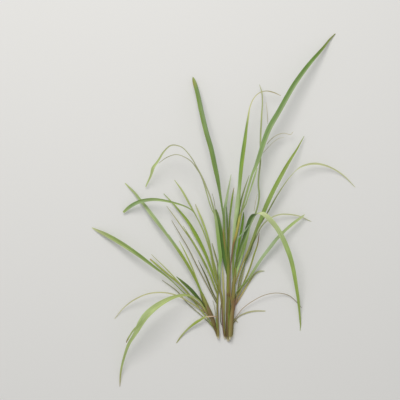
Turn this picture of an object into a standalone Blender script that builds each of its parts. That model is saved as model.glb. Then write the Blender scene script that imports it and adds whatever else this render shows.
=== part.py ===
"""A lemongrass clump, cut and laid flat: six leafy stalks with their leaves, and four dead outer leaves.

Metres, +Z up. The clump lies on the plane z = 0. Its stalks run along +Y, with their cut ends near y = 0,
and the origin is on the flat underside of the thickest stalk, where it rests.
Stalks and leaves are listed in millimetres: across (x), along (y), height above the surface (z), and then
a stalk's radius or a leaf's width at that point.
"""

import math

import bmesh
import bpy
import numpy as np
from mathutils import Matrix, Vector

MM = 0.001
LEAF_THICKNESS = 0.8 * MM
LEAF_STEP = 21 * MM
TWIST_STEP = 9 * MM
LEAF_COLUMNS = 2
LEAST_STEPS = 4
KEEL_ANGLE = math.radians(24)
STALK_STEP = 11 * MM
SHEATH_GAP = 0.7 * MM
SHEATH_COLUMNS = 5
SHEATH_STEPS = 8
SHEATH_PROBE = 0.01  # share of the stalk's length that its direction is taken over
SHEATH_NARROWING = 0.5  # share of its spread that a sheath loses by its upper end
WELD = 0.00001

CLUMP = "Lemongrass clump"
UNJOINED = "Leaves to join"


def start_scene():
    """Empties the scene and makes the clump's collection."""
    for thing in list(bpy.data.objects):
        bpy.data.objects.remove(thing)
    clump = bpy.data.collections.new(CLUMP)
    bpy.context.scene.collection.children.link(clump)
    return clump


def plain_material(name, colour, roughness):
    """A matt plant skin: colour is linear red, green and blue."""
    material = bpy.data.materials.new(name)
    material.use_nodes = True
    skin = material.node_tree.nodes["Principled BSDF"]
    skin.inputs["Base Color"].default_value = (*colour, 1)
    skin.inputs["Roughness"].default_value = roughness
    skin.inputs["Metallic"].default_value = 0
    return material


def smooth_route(points, shares):
    """Reads a smooth curve through the points at each share (0 to 1) of its length."""
    knots = np.array(points, dtype=float)
    knots[:, :3] *= MM
    knots[:, 3] *= MM
    steps = np.linalg.norm(np.diff(knots[:, :3], axis=0), axis=1)
    places = np.concatenate([[0], np.cumsum(steps)])
    slopes = np.diff(knots, axis=0) / steps[:, None]
    tangents = np.vstack([slopes[:1], slopes, slopes[-1:]])
    lead = np.concatenate([[steps[0]], steps])[:, None]
    trail = np.concatenate([steps, [steps[-1]]])[:, None]
    tangents = (tangents[:-1] * trail + tangents[1:] * lead) / (lead + trail)
    read = []
    for share in shares:
        place = share * places[-1]
        i = min(max(np.searchsorted(places, place) - 1, 0), len(steps) - 1)
        s = (place - places[i]) / steps[i]
        start = (1 + 2 * s) * (1 - s) ** 2 * knots[i] + s * (1 - s) ** 2 * steps[i] * tangents[i]
        end = s * s * (3 - 2 * s) * knots[i + 1] + s * s * (s - 1) * steps[i] * tangents[i + 1]
        read.append(start + end)
    return np.array(read)


def places_along(points):
    """How far along the straight runs from point to point each point is, in metres."""
    knots = np.array(points, dtype=float)[:, :3] * MM
    return np.concatenate([[0], np.cumsum(np.linalg.norm(np.diff(knots, axis=0), axis=1))])


def linked(name, mesh, collection):
    """A new object of the mesh, in the collection."""
    thing = bpy.data.objects.new(name, mesh)
    collection.objects.link(thing)
    return thing


def evaluated_mesh(thing):
    """The object's mesh with its modifiers applied."""
    bpy.context.view_layer.update()
    graph = bpy.context.evaluated_depsgraph_get()
    return bpy.data.meshes.new_from_object(thing.evaluated_get(graph))


def rod(name, points, collection):
    """A round, tapered stalk or rolled leaf with flat ends, flattened where it meets the surface."""
    steps = max(LEAST_STEPS, round(places_along(points)[-1] / STALK_STEP))
    route = smooth_route(points, np.linspace(0, 1, steps + 1))
    curve = bpy.data.curves.new(name, "CURVE")
    curve.dimensions = "3D"
    curve.bevel_depth = 1
    curve.bevel_resolution = 2
    curve.use_fill_caps = True
    spline = curve.splines.new("POLY")
    spline.points.add(steps)
    for point, (x, y, z, radius) in zip(spline.points, route):
        point.co = (x, y, z, 1)
        point.radius = radius
    wire = linked(name + " line", curve, collection)
    mesh = evaluated_mesh(wire)
    bpy.data.objects.remove(wire)
    body = bmesh.new()
    body.from_mesh(mesh)
    bmesh.ops.remove_doubles(body, verts=body.verts, dist=WELD)
    for vertex in body.verts:
        vertex.co.z = max(vertex.co.z, 0)
    bmesh.ops.recalc_face_normals(body, faces=body.faces)
    body.to_mesh(mesh)
    body.free()
    return linked(name, mesh, collection)


def strip(name, columns, rows, place, collection):
    """A sheet of columns by rows, put in its place point by point and given the leaf's thickness."""
    sheet = bmesh.new()
    bmesh.ops.create_grid(sheet, x_segments=columns, y_segments=rows, size=0.5)
    for vertex in sheet.verts:
        vertex.co = place(2 * vertex.co.x, vertex.co.y + 0.5)
        vertex.co.z = max(vertex.co.z, LEAF_THICKNESS / 2)
    bmesh.ops.triangulate(sheet, faces=sheet.faces)
    mesh = bpy.data.meshes.new(name)
    sheet.to_mesh(mesh)
    sheet.free()
    thing = linked(name, mesh, collection)
    wall = thing.modifiers.new("Leaf thickness", "SOLIDIFY")
    wall.thickness = LEAF_THICKNESS
    wall.offset = 0
    return thing


def leaf(name, points, rolls, collection, step=LEAF_STEP):
    """A keeled blade along its route.

    rolls are its turns about its own length, in degrees: one at each point, or a few evenly spaced.
    """
    places = places_along(points)
    rows = max(LEAST_STEPS, round(places[-1] / step))
    shares = np.linspace(0, 1, rows + 1)
    route = smooth_route(points, shares)
    marks = places / places[-1] if len(rolls) == len(points) else np.linspace(0, 1, len(rolls))
    turns = np.interp(shares, marks, rolls)
    ways = np.gradient(route[:, :3], axis=0)

    def place(side, share):
        row = round(share * rows)
        centre = Vector(route[row, :3])
        way = Vector(ways[row]).normalized()
        across = way.cross(Vector((0, 0, 1))).normalized()
        across.rotate(Matrix.Rotation(math.radians(turns[row]), 3, way))
        out = across.cross(way)
        half_width = max(route[row, 3], MM) / 2
        angle = side * KEEL_ANGLE
        aside = half_width * math.sin(angle) / KEEL_ANGLE
        lift = half_width * (1 - math.cos(angle)) / KEEL_ANGLE
        return centre + across * aside + out * lift

    return strip(name, LEAF_COLUMNS, rows, place, collection)


def sheath(name, stalk, first, last, facing, spread, collection):
    """The dead foot of an outer leaf, wrapped part of the way round a stalk.

    first and last are shares of the stalk's length, facing the side it is on (90 is up) and spread its
    half width there, both in degrees.
    """

    def place(side, share):
        here = first + (last - first) * share
        before, middle, after = smooth_route(stalk, [here - SHEATH_PROBE, here, here + SHEATH_PROBE])
        across = Vector(after[:3] - before[:3]).cross(Vector((0, 0, 1))).normalized()
        reach = float(middle[3]) + SHEATH_GAP + LEAF_THICKNESS / 2
        angle = math.radians(facing - side * spread * (1 - SHEATH_NARROWING * share * share))
        return Vector(middle[:3]) + reach * (across * math.cos(angle) + Vector((0, 0, math.sin(angle))))

    return strip(name, SHEATH_COLUMNS, SHEATH_STEPS, place, collection)


def grown_together(name, first, others, material):
    """Joins the pieces that grow from the first one into a single body."""
    if others.objects:
        join = first.modifiers.new("Grown together", "BOOLEAN")
        join.operation = "UNION"
        join.solver = "MANIFOLD"
        join.operand_type = "COLLECTION"
        join.collection = others
    mesh = evaluated_mesh(first)
    first.modifiers.clear()
    first.data = mesh
    first.name = name
    mesh.name = name
    mesh.materials.clear()
    mesh.materials.append(material)
    mesh.shade_smooth()
    mesh.set_sharp_from_angle(angle=math.radians(40))
    for thing in list(others.objects):
        bpy.data.objects.remove(thing)
    bpy.data.collections.remove(others)
    return first


LEFT_LEANING_STALK = [
    (-25.5, -10, 3.2, 3.0),
    (-27.5, 0, 3.4, 3.8),
    (-30, 10, 3.7, 4.1),
    (-36, 25, 4.0, 4.6),
    (-43, 45, 4.6, 5.2),
    (-52, 64, 5.0, 5.7),
    (-60, 82, 5.0, 5.6),
    (-66, 98, 6.0, 4.2),
    (-72, 112, 8.0, 2.5),
]

LEFT_UPRIGHT_STALK = [
    (-24.5, -12, 9.8, 1.8),
    (-25, -4, 10.4, 2.4),
    (-26, 20, 8.6, 2.6),
    (-27, 45, 5.0, 2.5),
    (-27, 95, 2.4, 2.4),
    (-25, 121, 3.0, 2.2),
    (-27, 140, 5.0, 1.6),
]

LEFT_OF_CENTRE_STALK = [
    (-8.6, -12, 2.6, 2.3),
    (-10.4, 6, 3.2, 3.4),
    (-12, 28, 3.2, 3.6),
    (-13, 48, 3.0, 3.5),
    (-15, 70, 3.2, 3.2),
    (-18, 95, 6.0, 3.0),
    (-22, 116, 10.0, 2.6),
    (-22, 150, 13.0, 2.0),
]

CENTRE_STALK = [
    (0, -19, 3.0, 2.4),
    (0, -14, 3.6, 4.6),
    (0, -7, 3.8, 5.4),
    (0, 10, 3.8, 5.7),
    (0, 50, 4.0, 5.9),
    (0, 95, 4.4, 5.0),
    (0, 135, 5.0, 4.7),
    (0, 180, 7.0, 4.2),
    (1, 215, 10.0, 2.5),
]

RIGHT_OF_CENTRE_STALK = [
    (4, -14, 12.6, 2.2),
    (4.6, -6, 13.4, 3.2),
    (6, 15, 14.2, 3.8),
    (8, 42, 15.0, 4.3),
    (11, 65, 13.5, 4.4),
    (12, 92, 11.0, 4.4),
    (13, 122, 9.5, 4.2),
    (17, 155, 11.0, 3.4),
    (20, 180, 13.0, 2.5),
]

RIGHT_STALK = [
    (9.2, -9, 2.6, 1.9),
    (9.4, -2, 2.8, 2.6),
    (10.8, 32, 3.0, 3.1),
    (12, 57, 3.3, 3.8),
    (17, 77, 3.0, 3.2),
    (22, 92, 2.8, 2.8),
    (29, 107, 3.0, 2.2),
    (35, 120, 4.0, 1.5),
]


def left_leaning_leaves(group):
    """The leaves that fan out to the left, with the broad one that droops."""
    leaf(
        "far left long",
        [(-56, 60, 5, 3), (-111, 102, 14, 2.8), (-134, 125, 20, 2.5), (-156, 145, 24, 4),
         (-178, 162, 27, 6.2), (-225, 198, 30, 10), (-298, 244, 14, 10.5), (-316, 253, 9, 9),
         (-328, 258.5, 5, 6), (-342, 265.5, 0, 2)],
        [10, 20, 10], group)
    leaf(
        "left droop",
        [(-54, 54, 6, 4), (-78, 87, 24, 3.8), (-90, 94, 31, 4), (-113, 98, 46, 6.2),
         (-138, 93, 59, 9), (-162, 82, 69, 12.5), (-186, 66, 75, 16), (-206, 47, 74, 17),
         (-219, 28, 69, 15.5), (-227, 12, 63, 12), (-237, -5, 55, 9), (-246, -19, 47, 8),
         (-260, -56, 28, 6), (-270, -100, 10, 4), (-272, -133, 0, 1)],
        [20, 20, 10, 0, 0, 0, 0], group)
    leaf(
        "left thin arch",
        [(-52, 50, 5, 3), (-91, 75, 8, 3), (-131, 97, 18, 3), (-170, 104, 26, 3), (-203, 100, 28, 3),
         (-236, 85, 20, 3), (-266, 61, 8, 2), (-285, 37, 0, 1)],
        [0], group)
    leaf(
        "left diagonal",
        [(-61, 88, 6, 5), (-79, 130, 16, 6), (-120, 202, 26, 7.5), (-150, 244, 28, 8.2),
         (-194, 301, 18, 10), (-206, 317, 13, 8.6), (-220, 334, 8, 7.3), (-234, 352, 4.5, 5.8),
         (-248, 366, 2, 4.5), (-259, 377, 0, 2.2)],
        [20, -10, 0], group)
    leaf(
        "left inner thin",
        [(-62, 90, 6, 3), (-74, 122, 14, 3), (-89, 162, 26, 3), (-105, 198, 32, 3), (-123, 233, 34, 1)],
        [0], group)
    leaf(
        "left low tan tip",
        [(-31, 2, 3.6, 2), (-36.5, 14, 3.8, 3), (-43, 25.5, 4, 3.2), (-56, 43.8, 4.5, 3),
         (-69, 59, 5, 3), (-94, 93, 7, 3.5), (-117, 120, 8, 4), (-152, 149, 6, 4.5),
         (-180, 173, 3, 4), (-196, 187, 1, 2.5)],
        [0], group)
    leaf(
        "left low thin",
        [(-46, 40, 5, 3), (-57, 54.3, 8, 3), (-71.4, 72.5, 11, 3), (-99, 98, 17, 3),
         (-120, 124, 22, 3), (-152, 159, 22, 3), (-193, 199, 14, 1)],
        [0], group)
    leaf(
        "left dark short",
        [(-56, 62, 6, 5), (-71, 84, 16, 8), (-94, 111, 26, 9), (-120, 135, 34, 5), (-130, 144, 36, 1)],
        [30, 10], group)
    leaf(
        "left lowest thin",
        [(-38, 16, 4, 2), (-60, 39, 4, 2), (-69, 47, 4, 2), (-101, 75, 4, 2), (-129, 107, 4, 2),
         (-166, 134, 1, 1)],
        [0], group)


def left_upright_leaves(group):
    """The leaves up and to the left, with the one that arches over and the low one that droops."""
    leaf(
        "left low droop",
        [(-27, 40, 6, 3), (-34, 43.5, 12, 3), (-44, 43.7, 15.5, 3.3), (-54, 43, 16.5, 3.5),
         (-60, 41.9, 16.2, 5), (-69.5, 35.7, 15, 6.2), (-79, 30, 13, 6.8), (-93.4, 19, 9.5, 5.2),
         (-107.7, 5.5, 5.8, 4), (-122, -11.7, 1.8, 3.2), (-130, -24, 0, 1.6)],
        [0], group)
    leaf(
        "left arch",
        [(-26, 108, 4, 3.4), (-32, 132, 8, 3.2), (-50, 222, 26, 3), (-73, 280, 38, 3),
         (-92, 310, 44, 3), (-108, 319, 46, 3.6), (-136, 328, 46, 5), (-194, 336, 40, 8),
         (-224, 330, 28, 9), (-252, 314, 14, 8), (-263, 304, 8, 5)],
        [30, 20, 30, 10, 0], group)
    leaf(
        "left vivid",
        [(-27, 115, 3, 4), (-39, 150, 5, 5), (-56, 197, 8, 7), (-78, 242, 10, 9.5),
         (-105, 286, 11, 7.2), (-122, 307, 9, 5), (-140, 328, 7, 3), (-162, 351, 2, 1)],
        [0, 20, 0], group)
    leaf(
        "left straight",
        [(-27, 130, 4, 3), (-50, 220, 20, 2.4), (-64, 259, 26, 2.4), (-82, 297, 30, 3),
         (-99, 328, 32, 4.8), (-117, 360, 30, 4.4), (-135, 385, 26, 1.4)],
        [0], group)
    leaf(
        "left pair long",
        [(-27, 98, 3, 4), (-48, 152, 14, 5), (-69, 195, 20, 5.5), (-94, 237, 24, 4.5),
         (-111, 260, 24, 3.2), (-131, 288, 20, 2.6), (-155, 320, 14, 1)],
        [10], group)
    leaf(
        "left pair short",
        [(-52, 160, 15, 3), (-66, 188, 22, 4), (-81, 217, 28, 4), (-113, 270, 34, 1)],
        [0], group)
    leaf(
        "left dark olive",
        [(-27, 80, 3, 3), (-41, 107, 6, 4), (-56, 144, 13, 4), (-76, 185, 19, 1)],
        [20], group)
    leaf(
        "left grey brown",
        [(-27, 72, 3, 2.4), (-50, 115, 5, 2.4), (-82, 177, 8, 2.4), (-101, 215, 9, 2.2),
         (-120, 247, 9, 1.8), (-142, 284, 6, 1)],
        [0], group)
    leaf(
        "left slim",
        [(-26, 125, 4, 3), (-30, 154, 6, 3), (-34.5, 173, 7, 3.2), (-40, 192, 7.6, 3.4),
         (-45, 215, 8, 3.8), (-50, 236.5, 8.6, 4.6), (-57.5, 261, 9, 5), (-64.5, 281, 9, 4.8),
         (-73, 301, 9, 4), (-83, 325, 6, 1.4)],
        [0], group)
    leaf(
        "left tiny",
        [(-26, 130, 4, 2), (-28, 180, 6, 3), (-35, 205, 6, 3), (-41, 227, 5, 1)],
        [0], group)


def left_of_centre_leaves(group):
    """The long pair that arches over at the top, and the rolled young leaf."""
    leaf(
        "arched pair upper",
        [(-21, 112, 10, 4), (-22, 167, 15, 7), (-20, 190, 18, 9), (-23, 220, 23, 9),
         (-27, 255, 29, 8.5), (-31, 285, 35, 7), (-36, 309, 39, 5), (-41, 327, 44, 3.5),
         (-46, 344, 49, 3.2), (-53, 362, 54, 3.6), (-61, 382, 58, 3.4), (-79, 417, 68, 2.6),
         (-96, 445, 76, 2.4), (-120, 468, 82, 2.4), (-141, 471, 80, 3.2), (-161, 455, 70, 4),
         (-173, 436, 60, 5), (-180, 426, 54, 6), (-187, 417, 48, 7.4), (-190, 409, 42, 7.8),
         (-192, 401, 35, 6), (-196, 391, 26, 5), (-202, 379, 15, 4), (-207, 368, 8, 2.5)],
        [0], group)
    leaf(
        "arched pair lower",
        [(-36, 300, 37, 2.5), (-41, 310, 39, 2.5), (-46, 323, 43, 3), (-52, 344, 48, 3),
         (-58, 365, 51, 3), (-64, 384, 53, 2.6), (-72, 402, 57, 2.4), (-80, 414, 60, 2.4),
         (-90, 428, 62, 2.4), (-112, 443, 64, 2), (-128, 448, 62, 2), (-152, 442, 52, 2),
         (-174, 427, 40, 1)],
        [0], group)
    rod(
        "rolled young leaf",
        [(-11, 16, 3.4, 2), (-11, 70, 4, 2.2), (-11, 95, 5, 2.2), (-12.6, 121, 6, 2.1),
         (-13.8, 148, 8, 1.7), (-14.8, 164, 9, 1.2), (-15.2, 174, 9.4, 0.6)],
        group)


def centre_leaves(group):
    """The broad blunt leaf, the tall one above it, and three that stand between."""
    leaf(
        "broad left of centre",
        [(0, 140, 5, 6), (-5, 165, 8, 8), (-11, 195, 12, 10), (-18, 235, 13, 13), (-24, 270, 13, 14),
         (-30, 300, 11, 10), (-32, 311, 9, 5)],
        [0], group)
    leaf(
        "tall upper left",
        [(0, 165, 6, 4), (-6, 222, 20, 3.5), (-13, 297, 36, 4), (-17, 325, 43, 5),
         (-22, 357, 48, 6.8), (-27, 387, 53, 10), (-33, 415, 56, 11.6), (-43, 461, 60, 12),
         (-56, 507, 56, 12), (-68, 558, 44, 11.8), (-79, 609, 24, 10.5), (-85, 630, 14, 9),
         (-87.3, 638, 11, 6.4), (-88.8, 643, 9.5, 1.8)],
        [30, 0, -10], group)
    leaf(
        "centre left slim",
        [(0, 160, 7, 4), (-9, 225, 18, 5), (-11, 283, 28, 7.4), (-11, 303, 28, 7),
         (-6, 330, 27, 6.4), (0, 362, 23, 4.4), (7, 399, 14, 1)],
        [0], group)
    leaf(
        "centre dark slim",
        [(-1, 170, 7, 4), (-2.6, 255, 18, 3.6), (-3.4, 287, 22, 4.4), (-5, 320, 24, 1)],
        [0], group)
    leaf(
        "centre right slim",
        [(0, 170, 7, 4), (-0.5, 190, 9, 6), (0, 215, 11.4, 6.4), (0.5, 243, 14, 6),
         (2, 266, 17, 4.2), (3.6, 292, 21, 4), (6.3, 315.6, 24, 4.6), (10, 343, 22, 4.4),
         (14, 366, 18, 1)],
        [0], group)


def right_of_centre_leaves(group):
    """The tallest leaf, the one with a curled end, the wide one that droops, and the rest."""
    leaf(
        "tallest right",
        [(13, 125, 9, 5), (12, 180, 16, 5), (16, 222, 20, 5.2), (24, 262, 25, 5.2),
         (31.5, 300, 30, 4.8), (40.8, 336, 35, 4.8), (53, 379, 40, 5.2), (60.2, 402, 43, 6.2),
         (67, 417, 44.8, 8.2), (74.5, 437, 48, 10.8), (85, 470, 52, 11.8), (98, 506, 54, 13.2),
         (128, 560, 54, 12.4), (166, 626, 46, 11.8), (206, 680, 31, 9.5), (239, 718, 14, 6.5),
         (255, 738.5, 6, 4), (268.5, 752, 0, 2.2)],
        [0, 10, 0], group)
    leaf(
        "upright with curled end",
        [(13, 130, 10, 5), (12, 200, 22, 6), (16, 275, 33, 8), (21, 307, 38, 11),
         (24, 335, 42, 11), (27, 365, 47, 8.5), (30, 400, 51, 9.5), (34, 436, 54, 10),
         (41, 486, 58, 8.6), (45, 517, 59, 6), (49, 542, 58, 4.6), (53, 565, 55, 2.8),
         (61, 585, 51, 2.2), (75, 601, 45, 2), (93, 607, 38, 2), (112, 604, 30, 2.4),
         (131, 596, 20, 1)],
        [0], group)
    leaf(
        "thin vertical",
        [(15, 140, 9, 4), (39, 222, 13, 4), (56, 275, 18, 4), (68, 302, 21, 4), (77, 351, 25, 4),
         (75, 370, 26, 4), (80, 435, 30, 4), (80, 481, 32, 4), (83, 545, 32, 4), (85, 583, 26, 3),
         (84, 602, 22, 3), (78, 624, 14, 1)],
        [0], group)
    leaf(
        "right of centre short",
        [(14, 140, 9, 4), (28, 235, 14, 6), (32, 257, 16, 6), (37, 290, 19, 5), (38, 305, 19, 1)],
        [0], group)
    leaf(
        "behind the tallest",
        [(18, 240, 22, 4), (33, 339, 31, 4), (42, 368, 32, 3), (52, 397, 32, 1)],
        [0], group)
    leaf(
        "right droop",
        [(17, 160, 12, 4), (24, 192, 26, 6), (31, 217, 38, 7), (41, 245, 52, 10),
         (48, 268, 64, 11), (55, 287, 75, 12), (61, 297, 81, 12), (69, 302, 86, 11),
         (77, 303, 89, 11), (84, 302, 91, 11), (92, 297, 92, 12), (104, 285, 92, 12.5),
         (118, 268, 89, 12), (132, 245, 84, 12), (145, 216, 75, 12.2), (155, 188, 65, 11),
         (163, 155, 51, 10), (169, 122, 37, 8.5), (175, 85, 21, 7), (178, 56, 10, 5),
         (180, 34, 4, 4), (181, 20, 1, 2.8), (180, 7, 0, 1)],
        [20, 10, 10, 5, 0, -8, -30, -78, -115, -145, -168, -178] + [-180] * 11, group, TWIST_STEP)
    leaf(
        "right pale mid",
        [(14, 130, 9, 4), (29, 182, 15, 6), (40, 217, 23, 6.5), (47, 240, 26, 4.5),
         (54, 266, 28, 1)],
        [0], group)
    leaf(
        "right broad",
        [(13, 115, 9, 3.5), (29, 159, 12, 3), (42, 191, 18, 3.4), (54, 220, 24, 5),
         (67, 253, 31, 7.5), (81, 288, 38, 9.2), (94.7, 321.6, 43, 11), (111, 357, 43, 10.4),
         (129, 391, 39, 9.8), (149, 426.5, 31, 7.8), (160.5, 445, 25, 6), (171.5, 462, 19, 4.2),
         (181.5, 480, 13, 2.6), (190, 495, 9, 1)],
        [0], group)


def right_leaves(group):
    """The thin leaves low on the right, with two that arch over and a hair-thin one."""
    leaf(
        "right thin hooked",
        [(22, 92, 3, 3), (26, 127, 4, 2.6), (37, 165, 8, 2.6), (56, 210, 14, 3),
         (73, 261, 20, 3.4), (99, 306, 26, 3.2), (124, 350, 30, 2.8), (155, 394, 32, 1.8),
         (168, 408, 32, 1.4), (178, 416, 31, 3.4), (195, 423, 29, 4.6), (214, 426, 26, 5),
         (237, 423, 20, 4.4), (263, 413, 12, 3.4), (288, 397, 6, 2.6), (318, 367, 0, 1)],
        [0], group)
    leaf(
        "right arch",
        [(23, 95, 3, 3), (36, 150, 5, 3), (46, 195, 9, 3), (65, 233, 15, 3), (88, 275, 19, 3),
         (106, 290, 20, 3), (131, 299, 18, 3), (151, 299, 14, 3), (176, 295, 8, 2.6),
         (208, 281, 0, 1)],
        [0], group)
    leaf(
        "right diagonal",
        [(17, 79, 3, 3), (22, 90, 4, 3), (29, 103, 6, 3), (35, 117, 8, 3.4), (45, 130, 9.5, 4.4),
         (53, 141, 11, 5.4), (62, 155.7, 13, 6.4), (84, 190, 18, 7.5), (103, 215, 23, 9),
         (122, 239, 26, 8), (144, 261, 26, 7), (165, 279, 21, 6.8), (180, 290, 17, 5.4),
         (188, 296, 15, 3.4), (191, 299, 14, 1)],
        [0, 20, 0], group)
    leaf(
        "right brownish low",
        [(16, 69, 2.5, 4), (33, 97, 2, 4.6), (49, 124, 2, 4.4), (59, 140, 3, 4.2), (67, 150, 3, 4),
         (78, 156, 2, 3.6), (91, 157, 1, 1)],
        [0], group)
    leaf(
        "right brown tip",
        [(22, 92, 3, 3), (45, 142, 10, 4), (54, 165, 16, 4), (64, 197, 22, 4), (73, 225, 28, 3),
         (77, 253, 31, 1)],
        [0], group)
    leaf(
        "right hair arch",
        [(12, 30, 3, 1.6), (35, 62, 8, 1.6), (63, 83, 12, 1.6), (91, 97, 14, 1.6),
         (120, 102, 11, 1.6), (151, 96, 5, 1.6), (184, 65, 0, 1)],
        [0], group)
    leaf(
        "right low short",
        [(12, 24, 2.5, 2), (24, 41, 2, 2), (42, 51, 2, 3), (63, 56, 1, 3.6), (93, 56.5, 0, 2.8)],
        [0], group)


def dying_leaf(group):
    """The yellow blade of the dying outer leaf, in front of the tallest one."""
    leaf(
        "dying blade",
        [(10, 62, 18.9, 4), (8, 80, 18.5, 4), (5, 100, 17.5, 3.4), (3.4, 120, 17.5, 3),
         (4, 145, 19.5, 3), (6, 170, 22.5, 3), (8, 190, 25, 3.4), (12, 222, 30, 4.2),
         (18, 245, 33, 5), (24, 272, 36, 5.5), (30, 299, 39, 5.5), (36, 312, 40, 4),
         (43, 324, 41, 3.2), (48.4, 341, 42.5, 3), (54.4, 359, 44.5, 3.4), (61, 380, 47, 4),
         (66.2, 397, 49.5, 4.2), (71.4, 415, 52, 2)],
        [0], group)


def stalk_with_leaves(name, stalk, grow_leaves, material, clump):
    """One stalk and every leaf that grows from it, as one body."""
    stem = rod(name, stalk, clump)
    group = bpy.data.collections.new(UNJOINED)
    bpy.context.scene.collection.children.link(group)
    grow_leaves(group)
    return grown_together(name, stem, group, material)


def outer_sheath(name, stalk, stretch, facing, spread, grow_leaves, material, clump):
    """One dead outer leaf: the foot that wraps its stalk and, where it has one, its blade."""
    foot = sheath(name, stalk, *stretch, facing, spread, clump)
    group = bpy.data.collections.new(UNJOINED)
    bpy.context.scene.collection.children.link(group)
    if grow_leaves:
        grow_leaves(group)
    return grown_together(name, foot, group, material)


def build():
    clump = start_scene()
    green = plain_material("Green leaf", (0.20, 0.30, 0.07), 0.5)
    yellow = plain_material("Dying leaf", (0.45, 0.38, 0.12), 0.6)
    brown = plain_material("Dry brown sheath", (0.17, 0.10, 0.045), 0.7)

    stalk_with_leaves("left_leaning_stalk", LEFT_LEANING_STALK, left_leaning_leaves, green, clump)
    stalk_with_leaves("left_upright_stalk", LEFT_UPRIGHT_STALK, left_upright_leaves, green, clump)
    stalk_with_leaves("left_of_centre_stalk", LEFT_OF_CENTRE_STALK, left_of_centre_leaves, green, clump)
    stalk_with_leaves("centre_stalk", CENTRE_STALK, centre_leaves, green, clump)
    stalk_with_leaves(
        "right_of_centre_stalk", RIGHT_OF_CENTRE_STALK, right_of_centre_leaves, green, clump)
    stalk_with_leaves("right_stalk", RIGHT_STALK, right_leaves, green, clump)

    outer_sheath(
        "left_leaning_dry_sheath", LEFT_LEANING_STALK, (0.24, 0.62), 95, 58, None, brown, clump)
    outer_sheath("centre_dry_sheath", CENTRE_STALK, (0.05, 0.46), 128, 36, None, brown, clump)
    outer_sheath("right_dry_sheath", RIGHT_STALK, (0.05, 0.55), 100, 45, None, brown, clump)
    outer_sheath(
        "dying_outer_leaf", RIGHT_OF_CENTRE_STALK, (0.04, 0.5), 95, 70, dying_leaf, yellow, clump)


build()
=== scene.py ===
"""A cut lemongrass clump on a pale studio floor, seen from straight above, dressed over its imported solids."""

import math

import bmesh
import bpy
import numpy as np
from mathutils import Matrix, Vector


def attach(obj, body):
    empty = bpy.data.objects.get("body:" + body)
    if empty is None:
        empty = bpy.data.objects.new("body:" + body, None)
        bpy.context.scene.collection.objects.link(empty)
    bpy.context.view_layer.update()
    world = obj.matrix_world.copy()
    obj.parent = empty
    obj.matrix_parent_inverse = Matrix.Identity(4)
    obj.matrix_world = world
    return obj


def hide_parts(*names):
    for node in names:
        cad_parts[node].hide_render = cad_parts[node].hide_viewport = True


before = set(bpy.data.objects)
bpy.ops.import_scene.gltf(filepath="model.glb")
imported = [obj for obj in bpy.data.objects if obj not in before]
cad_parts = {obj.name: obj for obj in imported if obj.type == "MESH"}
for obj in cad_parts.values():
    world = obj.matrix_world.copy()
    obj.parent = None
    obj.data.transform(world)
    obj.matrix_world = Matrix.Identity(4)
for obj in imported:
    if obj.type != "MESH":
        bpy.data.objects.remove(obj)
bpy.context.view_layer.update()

# The camera looks straight down on the clump, with the leaf tips at the top of the picture.
# It is far off with a long lens, so that raised leaves hardly lean outwards.
MM = 0.001
PHOTO_SIDE = 400
PIXEL = 2.5 * MM
PHOTO_MIDDLE = (-71 * MM, 335 * MM)
CAMERA_HEIGHT = 8.0
LEAF_LEVEL = 25 * MM
SENSOR = 36

eye = bpy.data.cameras.new("Camera")
eye.sensor_width = SENSOR
eye.lens = SENSOR * (CAMERA_HEIGHT - LEAF_LEVEL) / (PHOTO_SIDE * PIXEL)
eye.clip_start = 0.1
eye.clip_end = 100
camera = bpy.data.objects.new("Camera", eye)
camera.location = (*PHOTO_MIDDLE, CAMERA_HEIGHT)
bpy.context.collection.objects.link(camera)
bpy.context.scene.camera = camera

# The left leaning stalk: leaf sheaths rolled round each other, olive over a purple-brown foot, cut off
# at the base. Nine leaves fan out of it, with no stems of their own. Each is a keeled ribbon of grass
# leaf with a midrib and fine veins, satin and green above, paler and duller below.
STALK_SIDES = 24
STALK_STEP = 3 * MM
ROUTE_STEPS = 400
LEAF_COLUMNS = 8
SHEATH_COLUMNS = 10
LEAF_STEP = 4 * MM
LEAF_THICKNESS = 0.45 * MM
LEAST_WIDTH = 0.6 * MM
BLADE_FOLD = math.radians(17)
ROOT_FOLD = math.radians(75)
ROOT_LENGTH = 60 * MM
GROOVE_DEPTH = 0.06
GROOVE_WIDTH = 0.12
RIPPLE_LENGTH = 55 * MM
RIPPLE = 0.05
RIPPLE_SKEW = 1.3
PHASE_STEP = 1.7
NICK_LENGTH = 25 * MM
STALK_TOP = 18 * MM
TOP_SHARE = 0.25
STALK_RIBS = 9
RIB_HEIGHT = 0.015
RIB_TWIST = 5
TINT_REACH = 1.8
WELD = 0.001 * MM
FOOT_RINGS = 24
RING_DEPTHS = (0.4, -0.5, 0.4, -0.5)
LEAST_LEAF_ROWS = 12
SHEATH_STEP = 2.5 * MM
LEAST_SHEATH_ROWS = 8
SHEATH_NARROWING = 0.5
WRAP_GAP = 0.1 * MM
WRAP_THICKNESS = 0.25 * MM
RUFFLE_HEIGHT = 0.12 * MM
RUFFLES = 23
RUFFLE_SKEW = 3
SMOOTH_ANGLE = math.radians(50)
VEIN_SPACING = 1.1 * MM
WAVE_PERIOD = 0.314
VEIN_STRETCH = 0.03
VEIN_WAVER = 1.6
VEIN_DETAIL = 2.0
VEIN_DETAIL_SCALE = 0.8
BUMP_STRENGTH = 0.5
ROUGHNESS_SPREAD = 0.08
# Each grain is its features a metre across and along the blade, and its detail.
STREAK_GRAIN = (420, 22, 4.0)
PATCH_GRAIN = (90, 26, 2.0)
SPECK_GRAIN = (700, 160, 1.0)
# Each pair of shades is the darkest and the brightest that a pattern makes the skin.
STREAK_SHADES = (0.88, 1.12)
VEIN_SHADES = (0.94, 1.05)
PATCH_SHADES = (0.9, 1.1)
MIDDLE_RANGE = (0.3, 0.7)
FLECK_RANGE = (0.70, 0.76)
FLECK_SHARE = 0.5


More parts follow.
